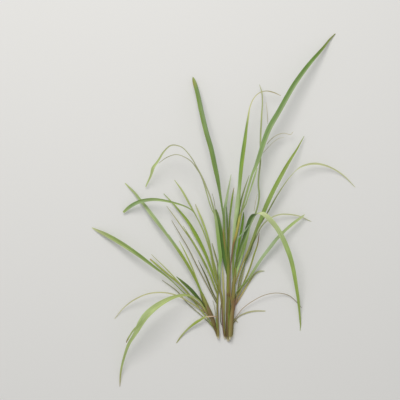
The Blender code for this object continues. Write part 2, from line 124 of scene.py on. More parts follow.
def linear(colour):
    """An sRGB hex colour as linear red, green and blue."""
    shares = [int(colour[i : i + 2], 16) / 255 for i in (0, 2, 4)]
    return np.array([s / 12.92 if s <= 0.04045 else ((s + 0.055) / 1.055) ** 2.4 for s in shares])


def add_node(tree, kind, sockets=(), **settings):
    """Adds a node. sockets maps its inputs to values or to the outputs that feed them."""
    made = tree.nodes.new("ShaderNode" + kind)
    for name, value in settings.items():
        setattr(made, name, value)
    for name, value in dict(sockets).items():
        if isinstance(value, bpy.types.NodeSocket):
            tree.links.new(value, made.inputs[name])
        else:
            made.inputs[name].default_value = value
    return made


def shade_from(tree, pattern, least, most):
    """Turns a pattern's middle range into a factor between least and most."""
    return add_node(
        tree, "MapRange",
        {"Value": pattern.outputs["Fac"], "From Min": MIDDLE_RANGE[0], "From Max": MIDDLE_RANGE[1],
         "To Min": least, "To Max": most}).outputs["Result"]


def plant_skin(name, tint, tint_share, roughness, vein_depth, fleck):
    """Plant skin, coloured by the piece's colours, its own with painted light and shade in places, with veins
    along it, streaks and flecks of age.

    tint is what the whole skin leans to, by tint_share; vein_depth is the bump of the veins in metres;
    fleck is the hex colour of the flecks. The blade map is in metres, across and along.
    """
    skin = bpy.data.materials.new(name)
    skin.use_nodes = True
    tree = skin.node_tree
    tree.nodes.clear()
    # The piece's colour attribute: its own colours, with painted light and shade on the halves of some leaves.
    own = add_node(tree, "Attribute", attribute_name="Skin colour")
    place = add_node(tree, "UVMap", uv_map="Blade").outputs["UV"]

    def speckle(across, along, detail):
        """Noise with so many features a metre across and along the blade."""
        spread = add_node(tree, "Mapping", {"Vector": place, "Scale": (across, along, 1)})
        return add_node(
            tree, "TexNoise", {"Vector": spread.outputs["Vector"], "Scale": 1.0, "Detail": detail})

    drawn_out = add_node(tree, "Mapping", {"Vector": place, "Scale": (1, VEIN_STRETCH, 1)})
    veins = add_node(
        tree, "TexWave",
        {"Vector": drawn_out.outputs["Vector"], "Scale": WAVE_PERIOD / VEIN_SPACING,
         "Distortion": VEIN_WAVER, "Detail": VEIN_DETAIL, "Detail Scale": VEIN_DETAIL_SCALE},
        wave_type="BANDS", bands_direction="X")
    streaks = speckle(*STREAK_GRAIN)
    patches = speckle(*PATCH_GRAIN)
    specks = speckle(*SPECK_GRAIN)

    shade = shade_from(tree, streaks, *STREAK_SHADES)
    for factor in (shade_from(tree, veins, *VEIN_SHADES), shade_from(tree, patches, *PATCH_SHADES)):
        shade = add_node(tree, "Math", {0: shade, 1: factor}, operation="MULTIPLY").outputs["Value"]
    leaning = add_node(
        tree, "Mix", {0: tint_share, 6: own.outputs["Color"], 7: (*linear(tint), 1)}, data_type="RGBA")
    shaded = add_node(
        tree, "VectorMath", {0: leaning.outputs[2], "Scale": shade}, operation="SCALE")
    old = add_node(
        tree, "MapRange",
        {"Value": specks.outputs["Fac"], "From Min": FLECK_RANGE[0], "From Max": FLECK_RANGE[1],
         "To Max": FLECK_SHARE})
    worn = add_node(
        tree, "Mix", {0: old.outputs["Result"], 6: shaded.outputs["Vector"], 7: (*linear(fleck), 1)},
        data_type="RGBA")
    rough = shade_from(tree, streaks, roughness - ROUGHNESS_SPREAD, roughness + ROUGHNESS_SPREAD)
    ridged = add_node(
        tree, "Bump",
        {"Height": veins.outputs["Fac"], "Distance": vein_depth, "Strength": BUMP_STRENGTH})
    shader = add_node(
        tree, "BsdfPrincipled",
        {"Base Color": worn.outputs[2], "Roughness": rough, "Normal": ridged.outputs["Normal"]})
    add_node(tree, "OutputMaterial", {"Surface": shader.outputs["BSDF"]})
    return skin


# A thin wax makes the upper face of fresh grass leaf satin. The underside has no wax, so it is dull.
upper_face = plant_skin(
    "Lemongrass leaf, upper face", tint="86a24c", tint_share=0.0,
    roughness=0.48, vein_depth=0.12 * MM, fleck="a8904a")
under_face = plant_skin(
    "Lemongrass leaf, underside", tint="b9cc94", tint_share=0.35,
    roughness=0.6, vein_depth=0.2 * MM, fleck="a8904a")
# Rolled sheaths are smooth and waxed like the leaf, with coarser ribs, and scuffed brown in places.
stalk_face = plant_skin(
    "Lemongrass stalk, rolled sheaths", tint="8a8440", tint_share=0.0,
    roughness=0.45, vein_depth=0.25 * MM, fleck="6b4a30")
# The knife leaves the fibre open, so the cut end is pale, damp and a little rough.
cut_face = plant_skin(
    "Cut stalk end, moist fibre", tint="e4dcc0", tint_share=0.3,
    roughness=0.55, vein_depth=0.2 * MM, fleck="b09a70")


def smooth_route(points, shares):
    """Reads a smooth curve through the points (millimetres) at each share of its length, in metres."""
    knots = np.array(points, dtype=float) * MM
    steps = np.linalg.norm(np.diff(knots[:, :3], axis=0), axis=1)
    places = np.concatenate([[0], np.cumsum(steps)])
    slopes = np.diff(knots, axis=0) / steps[:, None]
    tangents = np.vstack([slopes[:1], slopes, slopes[-1:]])
    lead = np.concatenate([[steps[0]], steps])[:, None]
    trail = np.concatenate([steps, [steps[-1]]])[:, None]
    tangents = (tangents[:-1] * trail + tangents[1:] * lead) / (lead + trail)
    spots = np.asarray(shares) * places[-1]
    i = np.clip(np.searchsorted(places, spots) - 1, 0, len(steps) - 1)
    run = steps[i][:, None]
    s = (spots[:, None] - places[i][:, None]) / run
    start = (1 + 2 * s) * (1 - s) ** 2 * knots[i] + s * (1 - s) ** 2 * run * tangents[i]
    end = s * s * (3 - 2 * s) * knots[i + 1] + s * s * (s - 1) * run * tangents[i + 1]
    return start + end


def places_along(points):
    """How far along the straight runs from point to point each point is, in metres."""
    knots = np.array(points, dtype=float)[:, :3] * MM
    return np.concatenate([[0], np.cumsum(np.linalg.norm(np.diff(knots, axis=0), axis=1))])


def tints(stops, sides, rows):
    """Linear colours by row and side, each stop its share of the length and hex colours left to right."""
    shares = [stop[0] for stop in stops]
    bands = []
    for stop in stops:
        hues = np.array([linear(colour) for colour in stop[1:]])
        marks = np.linspace(0, 1, len(hues))
        bands.append([[np.interp(side, marks, hues[:, k]) for k in range(3)] for side in sides])
    bands = np.array(bands)
    read = np.linspace(0, 1, rows + 1)
    blended = [[np.interp(read, shares, bands[:, i, k]) for k in range(3)] for i in range(len(sides))]
    return np.transpose(np.array(blended), (2, 0, 1))


def sheet(name, columns, rows, wide, long, place, colours, closed=False):
    """A sheet of columns by rows put in its place point by point, with its colours and its blade map.

    place takes a side from -1 to 1 and a share from 0 to 1. A closed sheet is rolled into a tube and
    welded along its seam.
    """
    body = bmesh.new()
    bmesh.ops.create_grid(body, x_segments=columns, y_segments=rows, size=0.5)
    blade = body.loops.layers.uv.new("Blade")
    tint = body.verts.layers.float_color.new("Skin colour")
    for face in body.faces:
        for loop in face.loops:
            loop[blade].uv = (loop.vert.co.x * wide, (loop.vert.co.y + 0.5) * long)
    for vertex in body.verts:
        side, share = 2 * vertex.co.x, vertex.co.y + 0.5
        colour = colours[round(share * rows), round((side + 1) / 2 * columns)]
        vertex[tint] = (*colour, 1)
        vertex.co = place(side, share)
    if closed:
        bmesh.ops.remove_doubles(body, verts=body.verts, dist=WELD)
    mesh = bpy.data.meshes.new(name)
    body.to_mesh(mesh)
    body.free()
    piece = bpy.data.objects.new(name, mesh)
    bpy.context.collection.objects.link(piece)
    return piece


def finished(piece, skins):
    """Applies the piece's modifiers, smooths it and gives it its materials."""
    bpy.context.view_layer.update()
    made = piece.evaluated_get(bpy.context.evaluated_depsgraph_get())
    mesh = bpy.data.meshes.new_from_object(made)
    piece.modifiers.clear()
    piece.data = mesh
    mesh.materials.clear()
    for skin in skins:
        mesh.materials.append(skin)
    mesh.shade_smooth()
    mesh.set_sharp_from_angle(angle=SMOOTH_ANGLE)


def thickened(piece, thickness, skins):
    """Gives a sheet its thickness, with the first skin above and the last one below."""
    for skin in skins:
        piece.data.materials.append(skin)
    wall = piece.modifiers.new("Thickness", "SOLIDIFY")
    wall.thickness = thickness
    wall.offset = 0
    wall.material_offset = len(skins) - 1
    finished(piece, skins)


def frames_along(route):
    """For each point of a route, the direction across it and the one out of its upper face."""
    ways = np.gradient(route[:, :3], axis=0)
    ways /= np.linalg.norm(ways, axis=1)[:, None]
    across = np.cross(ways, (0, 0, 1))
    across /= np.linalg.norm(across, axis=1)[:, None]
    return across, np.cross(across, ways)


def belongs(piece, node):
    """The piece stands for its solid, and moves and takes its finish with it."""
    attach(piece, "root")
    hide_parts(node)


def grow_leaf(node, name, points, rolls, stops, nick=None):
    """One grass leaf along its route: a keeled blade, rippled at its edges and rolled up at its root.

    rolls are its turns about its own length, in degrees: one at each point, or a few evenly spaced.
    nick is a tear at one edge: its share of the length, its side and the part of the width it takes.
    """
    places = places_along(points)
    long = places[-1]
    rows = max(LEAST_LEAF_ROWS, round(long / LEAF_STEP))
    shares = np.linspace(0, 1, rows + 1)
    route = smooth_route(points, shares)
    marks = places / long if len(rolls) == len(points) else np.linspace(0, 1, len(rolls))
    turns = np.radians(np.interp(shares, marks, rolls))
    across, out = frames_along(route)
    phase = len(name) * PHASE_STEP

    def place(side, share):
        row = round(share * rows)
        turn = turns[row]
        aside = across[row] * math.cos(turn) + out[row] * math.sin(turn)
        above = out[row] * math.cos(turn) - across[row] * math.sin(turn)
        half_width = max(route[row, 3], LEAST_WIDTH) / 2
        if nick and side * nick[1] > 0 and share > nick[0]:
            half_width *= 1 - nick[2] * math.exp((nick[0] - share) * long / NICK_LENGTH)
        rooted = max(0, 1 - share * long / ROOT_LENGTH) ** 2
        fold = BLADE_FOLD + (ROOT_FOLD - BLADE_FOLD) * rooted
        angle = side * fold
        reach = half_width * math.sin(angle) / fold
        lift = half_width * (1 - math.cos(angle)) / fold
        groove = -GROOVE_DEPTH * half_width * math.exp(-((side / GROOVE_WIDTH) ** 2))
        wave = math.sin(share * long / RIPPLE_LENGTH * math.tau + phase + RIPPLE_SKEW * side)
        ripple = RIPPLE * half_width * side * side * wave * (1 - rooted)
        spot = route[row, :3] + aside * reach + above * (lift + groove + ripple)
        spot[2] = max(spot[2], LEAF_THICKNESS / 2)
        return Vector(spot)

    # Where a stop's colours differ left to right, they are partly the leaf's own and partly painted light and
    # shade: one half of the keel lighter as if lit, the other darker as if shaded.
    colours = tints(stops, np.linspace(0, 1, LEAF_COLUMNS + 1), rows)
    piece = sheet(name, LEAF_COLUMNS, rows, route[:, 3].max(), long, place, colours)
    thickened(piece, LEAF_THICKNESS, [upper_face, under_face])
    belongs(piece, node)


def grow_stalk(node, name, points, stops):
    """A stalk of rolled sheaths, flattened where it rests, with rings showing in its cut end.

    At its top it closes in between the leaves, down to TOP_SHARE of its width.
    """
    long = places_along(points)[-1]
    rows = round(long / STALK_STEP)
    route = smooth_route(points, np.linspace(0, 1, rows + 1))
    across, out = frames_along(route)
    widest = route[:, 3].max()

    def place(side, share):
        row = round(share * rows)
        angle = side * math.pi
        ribbed = 1 + RIB_HEIGHT * math.cos(angle * STALK_RIBS + share * RIB_TWIST)
        open_top = math.sin(min(1, (1 - share) * long / STALK_TOP) * math.pi / 2)
        reach = route[row, 3] * ribbed * (TOP_SHARE + (1 - TOP_SHARE) * open_top)
        spot = route[row, :3] + (across[row] * math.sin(angle) + out[row] * math.cos(angle)) * reach
        spot[2] = max(spot[2], 0)
        return Vector(spot)

    upper_sides = np.clip(np.linspace(-1, 1, STALK_SIDES + 1) * TINT_REACH, -1, 1) / 2 + 0.5
    colours = tints(stops, upper_sides, rows)
    piece = sheet(name, STALK_SIDES, rows, widest * math.tau, long, place, colours, closed=True)
    body = bmesh.new()
    body.from_mesh(piece.data)
    bmesh.ops.holes_fill(body, edges=[edge for edge in body.edges if edge.is_boundary], sides=0)
    ends = [face for face in body.faces if len(face.verts) > 4]
    foot = min(ends, key=lambda face: face.calc_center_median().y)
    rings = foot.calc_perimeter() / FOOT_RINGS
    for depth in RING_DEPTHS:
        before = set(body.faces)
        bmesh.ops.inset_region(
            body, faces=[foot], thickness=rings, depth=depth * MM, use_even_offset=True)
        for face in set(body.faces) - before:
            face.material_index = 1
    foot.material_index = 1
    bmesh.ops.recalc_face_normals(body, faces=body.faces)
    body.to_mesh(piece.data)
    body.free()
    for skin in (stalk_face, cut_face):
        piece.data.materials.append(skin)
    finished(piece, [stalk_face, cut_face])
    belongs(piece, node)


def wrap_sheath(node, name, stalk, stretch, facing, spread, stops, skin=stalk_face,
                gap=0.25 * MM, thickness=0.3 * MM, slant=0.04):
    """One sheath wrapped round a stalk over a stretch of it, torn or cut to a slant at its top.

    facing is the side it is on (90 is up) and spread its half width there, both in degrees; gap is its
    distance from the stalk; slant is how far one side runs on past the other, as a share of the stalk.
    """
    first, last = stretch
    long = places_along(stalk)[-1] * (last - first)
    rows = max(LEAST_SHEATH_ROWS, round(long / SHEATH_STEP))
    route = smooth_route(stalk, np.linspace(0, 1, ROUTE_STEPS + 1))
    across, out = frames_along(route)

    def place(side, share):
        here = first + (last - first) * share + slant * side * share
        row = min(ROUTE_STEPS, max(0, round(here * ROUTE_STEPS)))
        ruffle = RUFFLE_HEIGHT * math.sin(share * RUFFLES + side * RUFFLE_SKEW + facing)
        reach = route[row, 3] + gap + thickness / 2 + ruffle * (1 + share)
        angle = math.radians(facing - side * spread * (1 - SHEATH_NARROWING * share * share))
        spot = route[row, :3] + reach * (across[row] * math.cos(angle) + out[row] * math.sin(angle))
        spot[2] = max(spot[2], thickness / 2)
        return Vector(spot)

    colours = tints(stops, np.linspace(0, 1, SHEATH_COLUMNS + 1), rows)
    wide = 2 * math.radians(spread) * route[:, 3].max()
    piece = sheet(name, SHEATH_COLUMNS, rows, wide, long, place, colours)
    thickened(piece, thickness, [skin])
    belongs(piece, node)


LEFT_LEANING_STALK = [
    (-25.5, -10, 3.2, 3.0), (-27.5, 0, 3.4, 3.8), (-30, 10, 3.7, 4.1), (-36, 25, 4.0, 4.6),
    (-43, 45, 4.6, 5.2), (-52, 64, 5.0, 5.7), (-60, 82, 5.0, 5.6), (-66, 98, 6.0, 4.2),
    (-72, 112, 8.0, 2.5),
]
LEANING_COLOURS = [
    (0.0, "d8cfb0"), (0.04, "8a7c3c", "7c7038"), (0.2, "7a6c38", "6b5a34", "7c7038"),
    (0.35, "8a8440", "6b5434", "8a8a40"), (0.6, "8c8c44", "72603a", "8a9440"),
    (0.8, "8a9440", "7c7c3c", "8f9a44"), (1.0, "8a9c44", "9aac54"),
]
grow_stalk("left_leaning_stalk", "left_leaning_stem", LEFT_LEANING_STALK, LEANING_COLOURS)
for number, (stretch, facing, spread, colours) in enumerate([
    ((0.10, 0.72), 35, 30, [(0, "7c7a38", "7c7038"), (0.5, "8f9a3c", "8a9038"), (1, "8a9838", "98a848")]),
    ((0.08, 0.66), 145, 26, [(0, "6b5a38"), (0.5, "8a8c3c", "7c7438"), (1, "8f9a40", "8a8c3c")]),
    ((0.40, 0.86), 80, 44, [(0, "7a6c3c", "6b5434"), (0.6, "8a8c44", "7c7c40"), (1, "94a048", "8a9844")]),
]):
    wrap_sheath("left_leaning_stalk", f"left_leaning_wrap_{number + 1}", LEFT_LEANING_STALK, stretch,
                facing, spread, colours, gap=WRAP_GAP * (1 + 2 * number))

far_left_long = [
    (-56, 60, 5, 3), (-111, 102, 14, 2.8), (-134, 125, 20, 2.5), (-156, 145, 24, 4),
    (-178, 162, 27, 6.2), (-225, 198, 30, 10), (-298, 244, 14, 10.5), (-316, 253, 9, 9),
    (-328, 258.5, 5, 6), (-342, 265.5, 0, 2),
]
grow_leaf("left_leaning_stalk", "far_left_long_leaf", far_left_long, [10, 20, 10], [
    (0, "8f9a50", "86923f"), (0.3, "9dae74", "8a9c50", "7f9a48"), (0.6, "a9bb80", "7f9c4c", "88a458"),
    (0.85, "a8b878", "8fa45c", "98ac6c"), (1, "c8d0a0", "c0c890")])

left_droop = [
    (-54, 54, 6, 4), (-78, 87, 24, 3.8), (-90, 94, 31, 4), (-113, 98, 46, 6.2), (-138, 93, 59, 9),
    (-162, 82, 69, 12.5), (-186, 66, 75, 16), (-206, 47, 74, 17), (-219, 28, 69, 15.5),
    (-227, 12, 63, 12), (-237, -5, 55, 9), (-246, -19, 47, 8), (-260, -56, 28, 6),
    (-270, -100, 10, 4), (-272, -133, 0, 1),
]
grow_leaf("left_leaning_stalk", "left_droop_leaf", left_droop, [20, 20, 10, 0, 0, 0, 0], [
    (0, "a9b068", "a0a860"), (0.2, "b8c878", "bccc80"), (0.5, "acc07c", "b8cc90"),
    (0.85, "a6ba78", "acbe78"), (0.97, "a8a860"), (1, "9a7c44")])

left_droop_strip = [
    (-212, 37, 71, 3), (-218, 30, 70, 4.4), (-225, 23, 67.5, 4.5), (-235, 13, 63, 4.2),
    (-244.5, -1, 56, 3.8), (-252.5, -15, 49, 3.4), (-255, -21, 46, 1.2),
]
grow_leaf("left_leaning_stalk", "left_droop_strip", left_droop_strip, [0], [
    (0, "a9be78", "b4c98c"), (0.8, "a3b470", "a3b470"), (1, "8a6a3c", "8a6a3c")])

left_thin_arch = [
    (-52, 50, 5, 3), (-91, 75, 8, 3), (-131, 97, 18, 3), (-170, 104, 26, 3), (-203, 100, 28, 3),
    (-236, 85, 20, 3), (-266, 61, 8, 2), (-285, 37, 0, 1),
]
grow_leaf("left_leaning_stalk", "left_thin_arch_leaf", left_thin_arch, [0], [
    (0, "a0a060"), (0.4, "bcbe88", "c4c494"), (1, "c8c89c")])

left_diagonal = [
    (-61, 88, 6, 5), (-79, 130, 16, 6), (-120, 202, 26, 7.5), (-150, 244, 28, 8.2),
    (-194, 301, 18, 10), (-206, 317, 13, 8.6), (-220, 334, 8, 7.3), (-234, 352, 4.5, 5.8),
    (-248, 366, 2, 4.5), (-259, 377, 0, 2.2),
]
grow_leaf("left_leaning_stalk", "left_diagonal_leaf", left_diagonal, [20, -10, 0], [
    (0, "8aa040"), (0.38, "8aa040", "8fa44a"), (0.45, "a5b58a", "86a05a", "9db088"),
    (0.85, "a8b88c", "88a05a", "9db084"), (1, "b8c488", "acbc7c")], nick=(0.52, 1, 0.3))

left_inner_thin = [
    (-62, 90, 6, 3), (-74, 122, 14, 3), (-89, 162, 26, 3), (-105, 198, 32, 3), (-123, 233, 34, 1),
]
grow_leaf("left_leaning_stalk", "left_inner_thin_leaf", left_inner_thin, [0], [
    (0, "98a848"), (1, "a4b05c")])

left_low_tan_tip = [
    (-31, 2, 3.6, 2), (-36.5, 14, 3.8, 3), (-43, 25.5, 4, 3.2), (-56, 43.8, 4.5, 3),
    (-69, 59, 5, 3), (-94, 93, 7, 3.5), (-117, 120, 8, 4), (-152, 149, 6, 4.5), (-180, 173, 3, 4),
    (-196, 187, 1, 2.5),
]
grow_leaf("left_leaning_stalk", "left_low_tan_tip_leaf", left_low_tan_tip, [0], [
    (0, "8a8c48"), (0.15, "98a44c", "8f9a44"), (0.5, "a8b454", "98a448"), (0.96, "a8b850", "9cac4c"),
    (1, "a88c54")])

left_low_thin = [
    (-46, 40, 5, 3), (-57, 54.3, 8, 3), (-71.4, 72.5, 11, 3), (-99, 98, 17, 3), (-120, 124, 22, 3),
    (-152, 159, 22, 3), (-193, 199, 14, 1),
]
grow_leaf("left_leaning_stalk", "left_low_thin_leaf", left_low_thin, [0], [
    (0, "a08c60"), (0.3, "a09060", "94a054"), (0.6, "a8b46c", "98a858"), (1, "b0b280")])

left_dark_short = [
    (-56, 62, 6, 5), (-71, 84, 16, 8), (-94, 111, 26, 9), (-120, 135, 34, 5), (-130, 144, 36, 1),
]
grow_leaf("left_leaning_stalk", "left_dark_short_leaf", left_dark_short, [30, 10], [
    (0, "5c7030"), (0.5, "56742c", "486424"), (1, "6c843c")])

left_lowest_thin = [
    (-38, 16, 4, 2), (-60, 39, 4, 2), (-69, 47, 4, 2), (-101, 75, 4, 2), (-129, 107, 4, 2),
    (-166, 134, 1, 1),
]
grow_leaf("left_leaning_stalk", "left_lowest_thin_leaf", left_lowest_thin, [0], [
    (0, "8a9450"), (0.4, "84865a"), (1, "8a8a60")])

# The left upright stalk is a slim olive one that lies on the leaning one's foot.
# Its leaves go up and to the left; one arches right over, and a low one droops across the stalk beside.
LEFT_UPRIGHT_STALK = [
    (-24.5, -12, 9.8, 1.8), (-25, -4, 10.4, 2.4), (-26, 20, 8.6, 2.6), (-27, 45, 5.0, 2.5),
    (-27, 95, 2.4, 2.4), (-25, 121, 3.0, 2.2), (-27, 140, 5.0, 1.6),
]
UPRIGHT_COLOURS = [
    (0.0, "e0d8bc"), (0.05, "8a8440", "8a7c40"), (0.3, "7c7a38", "7a6a50"), (0.5, "7c7a3a", "7c6a58"),
    (0.62, "8a9040", "8a8848"), (1.0, "8f9c44", "a0ac54"),
]
grow_stalk("left_upright_stalk", "left_upright_stem", LEFT_UPRIGHT_STALK, UPRIGHT_COLOURS)
wrap_sheath("left_upright_stalk", "left_upright_wrap", LEFT_UPRIGHT_STALK, (0.18, 0.64), 118, 36,
            [(0, "7c7438"), (0.6, "7c7c38", "86823c"), (1, "8f9c44", "8a9040")])

left_low_droop = [
    (-27, 40, 6, 3), (-34, 43.5, 12, 3), (-44, 43.7, 15.5, 3.3), (-54, 43, 16.5, 3.5),
    (-60, 41.9, 16.2, 5), (-69.5, 35.7, 15, 6.2), (-79, 30, 13, 6.8), (-93.4, 19, 9.5, 5.2),
    (-107.7, 5.5, 5.8, 4), (-122, -11.7, 1.8, 3.2), (-130, -24, 0, 1.6),
]
grow_leaf("left_upright_stalk", "left_low_droop_leaf", left_low_droop, [0], [
    (0, "a89468"), (0.08, "d0b8a0"), (0.2, "d0b8a0", "c8b890"), (0.28, "8fa43c", "98a848", "c0c890"),
    (0.5, "86a030", "94a83c", "b8c478"), (0.75, "98a860", "b4bc88", "a8b470"), (1, "94983c")])

left_arch = [
    (-26, 108, 4, 3.4), (-32, 132, 8, 3.2), (-50, 222, 26, 3), (-73, 280, 38, 3),
    (-92, 310, 44, 3), (-108, 319, 46, 3.6), (-136, 328, 46, 5), (-194, 336, 40, 8),
    (-224, 330, 28, 9), (-252, 314, 14, 8), (-263, 304, 8, 5),
]
grow_leaf("left_upright_stalk", "left_arch_leaf", left_arch, [30, 20, 30, 10, 0], [
    (0, "94a048"), (0.4, "a8b870", "98a860"), (0.65, "a9bd80", "7f9848"),
    (0.93, "9db588", "6f9040"), (1, "a5bb70")])

left_vivid = [
    (-27, 115, 3, 4), (-39, 150, 5, 5), (-56, 197, 8, 7), (-78, 242, 10, 9.5),
    (-105, 286, 11, 7.2), (-122, 307, 9, 5), (-140, 328, 7, 3), (-162, 351, 2, 1),
]
grow_leaf("left_upright_stalk", "left_vivid_leaf", left_vivid, [0, 20, 0], [
    (0, "8a9c40"), (0.5, "8faa44", "80a038"), (1, "94a850")], nick=(0.6, -1, 0.3))

left_straight = [
    (-27, 130, 4, 3), (-50, 220, 20, 2.4), (-64, 259, 26, 2.4), (-82, 297, 30, 3),
    (-99, 328, 32, 4.8), (-117, 360, 30, 4.4), (-135, 385, 26, 1.4),
]
grow_leaf("left_upright_stalk", "left_straight_leaf", left_straight, [0], [
    (0, "98a450"), (0.5, "a8b878", "98ac60"), (1, "a8b474")])

left_pair_long = [
    (-27, 98, 3, 4), (-48, 152, 14, 5), (-69, 195, 20, 5.5), (-94, 237, 24, 4.5),
    (-111, 260, 24, 3.2), (-131, 288, 20, 2.6), (-155, 320, 14, 1),
]
grow_leaf("left_upright_stalk", "left_pair_long_leaf", left_pair_long, [10], [
    (0, "8a9444"), (0.4, "9cb068", "8ca450"), (0.6, "a4aa70", "9aa068"), (1, "b0b088")])

left_pair_short = [(-52, 160, 15, 3), (-66, 188, 22, 4), (-81, 217, 28, 4), (-113, 270, 34, 1)]
grow_leaf("left_upright_stalk", "left_pair_short_leaf", left_pair_short, [0], [
    (0, "8a9c48"), (1, "98aa60")])

left_dark_olive = [(-27, 80, 3, 3), (-41, 107, 6, 4), (-56, 144, 13, 4), (-76, 185, 19, 1)]
grow_leaf("left_upright_stalk", "left_dark_olive_leaf", left_dark_olive, [20], [
    (0, "6f7038"), (1, "5f6a34")])

left_grey_brown = [
    (-27, 72, 3, 2.4), (-50, 115, 5, 2.4), (-82, 177, 8, 2.4), (-101, 215, 9, 2.2),
    (-120, 247, 9, 1.8), (-142, 284, 6, 1),
]
grow_leaf("left_upright_stalk", "left_grey_brown_leaf", left_grey_brown, [0], [
    (0, "7c7c4c"), (0.5, "8a8860", "807c58"), (1, "908c68")])

left_slim = [
    (-26, 125, 4, 3), (-30, 154, 6, 3), (-34.5, 173, 7, 3.2), (-40, 192, 7.6, 3.4),
    (-45, 215, 8, 3.8), (-50, 236.5, 8.6, 4.6), (-57.5, 261, 9, 5), (-64.5, 281, 9, 4.8),
    (-73, 301, 9, 4), (-83, 325, 6, 1.4),
]
grow_leaf("left_upright_stalk", "left_slim_leaf", left_slim, [0], [
    (0, "98a050"), (0.35, "98a860", "8a9c50"), (0.6, "acc078", "9cb05c"), (0.9, "b0bc70"), (1, "b0b088")])

left_tiny = [(-26, 130, 4, 2), (-28, 180, 6, 3), (-35, 205, 6, 3), (-41, 227, 5, 1)]
grow_leaf("left_upright_stalk", "left_tiny_leaf", left_tiny, [0], [(0, "6c7440"), (1, "8a9050")])

left_base_strand = [
    (-27, 10, 11.5, 1.4), (-28.6, 18, 11.5, 2.8), (-29.8, 30, 11, 2.6), (-31, 40, 10, 1.5),
    (-33, 55, 7, 1.3), (-35.5, 72, 4, 1.1), (-39, 83, 2, 0.8),
]
grow_leaf("left_upright_stalk", "left_base_strand", left_base_strand, [0], [
    (0, "7c8438"), (0.2, "7c9440"), (0.45, "84904c"), (1, "8a8c5c")])

# The left of centre stalk is brownish olive. Out of it come the long pair of leaves that arches over
# at the top, and a young leaf that is still rolled up, pale because it has seen little light.
LEFT_OF_CENTRE_STALK = [
    (-8.6, -12, 2.6, 2.3), (-10.4, 6, 3.2, 3.4), (-12, 28, 3.2, 3.6), (-13, 48, 3.0, 3.5),
    (-15, 70, 3.2, 3.2), (-18, 95, 6.0, 3.0), (-22, 116, 10.0, 2.6), (-22, 150, 13.0, 2.0),
]
LEFT_OF_CENTRE_COLOURS = [
    (0.0, "e0d8bc"), (0.04, "7a5c40", "7c6c3c"), (0.2, "7c5c50", "7c7c3c"), (0.4, "7c5f54", "84864a"),
    (0.55, "84704c", "8f9050"), (0.84, "8a8c54", "8a9048"), (1.0, "8aa064", "90a868"),
]
grow_stalk(
    "left_of_centre_stalk", "left_of_centre_stem", LEFT_OF_CENTRE_STALK, LEFT_OF_CENTRE_COLOURS)
for number, (stretch, facing, spread, colours) in enumerate([
    ((0.06, 0.40), 62, 34, [(0, "7c743c"), (0.5, "7c8040", "8a8c48"), (1, "98a058", "8a9048")]),
    ((0.16, 0.56), 140, 28, [(0, "6f5040"), (0.4, "7c5c50", "7a6048"), (1, "8c7458", "84784c")]),
]):
    wrap_sheath("left_of_centre_stalk", f"left_of_centre_wrap_{number + 1}", LEFT_OF_CENTRE_STALK,
                stretch, facing, spread, colours, gap=WRAP_GAP, thickness=WRAP_THICKNESS)

arched_upper = [
    (-21, 112, 10, 4), (-22, 167, 15, 7), (-20, 190, 18, 9), (-23, 220, 23, 9),
    (-27, 255, 29, 8.5), (-31, 285, 35, 7), (-36, 309, 39, 5), (-41, 327, 44, 3.5),
    (-46, 344, 49, 3.2), (-53, 362, 54, 3.6), (-61, 382, 58, 3.4), (-79, 417, 68, 2.6),
    (-96, 445, 76, 2.4), (-120, 468, 82, 2.4), (-141, 471, 80, 3.2), (-161, 455, 70, 4),
    (-173, 436, 60, 5), (-180, 426, 54, 6), (-187, 417, 48, 7.4), (-190, 409, 42, 7.8),
    (-192, 401, 35, 6), (-196, 391, 26, 5), (-202, 379, 15, 4), (-207, 368, 8, 2.5),
]
grow_leaf("left_of_centre_stalk", "arched_upper_leaf", arched_upper, [0], [
    (0, "8f9a50", "84904e"), (0.04, "74944c", "7c9c58"), (0.08, "b0c498", "a0b884"),
    (0.13, "a0bc74", "7c9f4c", "88a858"), (0.24, "90ac60", "88a858"), (0.32, "a0b47c", "94ac70"),
    (0.42, "a8b080", "a0a880"), (0.75, "b0b48c", "a8ac88"), (0.84, "c3d490", "b8cc84"),
    (1, "c8d898")])

arched_lower = [
    (-36, 300, 37, 2.5), (-41, 310, 39, 2.5), (-46, 323, 43, 3), (-52, 344, 48, 3),
    (-58, 365, 51, 3), (-64, 384, 53, 2.6), (-72, 402, 57, 2.4), (-80, 414, 60, 2.4),
    (-90, 428, 62, 2.4), (-112, 443, 64, 2), (-128, 448, 62, 2), (-152, 442, 52, 2),
    (-174, 427, 40, 1),
]
grow_leaf("left_of_centre_stalk", "arched_lower_leaf", arched_lower, [0], [
    (0, "a0b478"), (0.5, "a8ac88"), (1, "b4b498")])

between_strand = [
    (-16.5, 22, 6, 1.2), (-19.4, 32, 7, 2.2), (-20.2, 48, 8, 2.2), (-19.6, 62, 8.5, 2), (-17.5, 80, 9, 1.2),
]
grow_leaf("left_of_centre_stalk", "between_strand", between_strand, [0], [
    (0, "6c6440"), (0.4, "6c7444"), (1, "7c7c4c")])

rolled_young_leaf = [
    (-11, 16, 3.4, 2), (-11, 70, 4, 2.2), (-11, 95, 5, 2.2), (-12.6, 121, 6, 2.1),
    (-13.8, 148, 8, 1.7), (-14.8, 164, 9, 1.2), (-15.2, 174, 9.4, 0.6),
]
grow_stalk("left_of_centre_stalk", "rolled_young_leaf", rolled_young_leaf, [
    (0, "7c7c48", "8a8c50"), (0.4, "98a058", "a8a860"), (0.6, "a8ac62", "c0bc74"),
    (0.8, "b8b870", "d0cc88"), (1, "ccc890")])

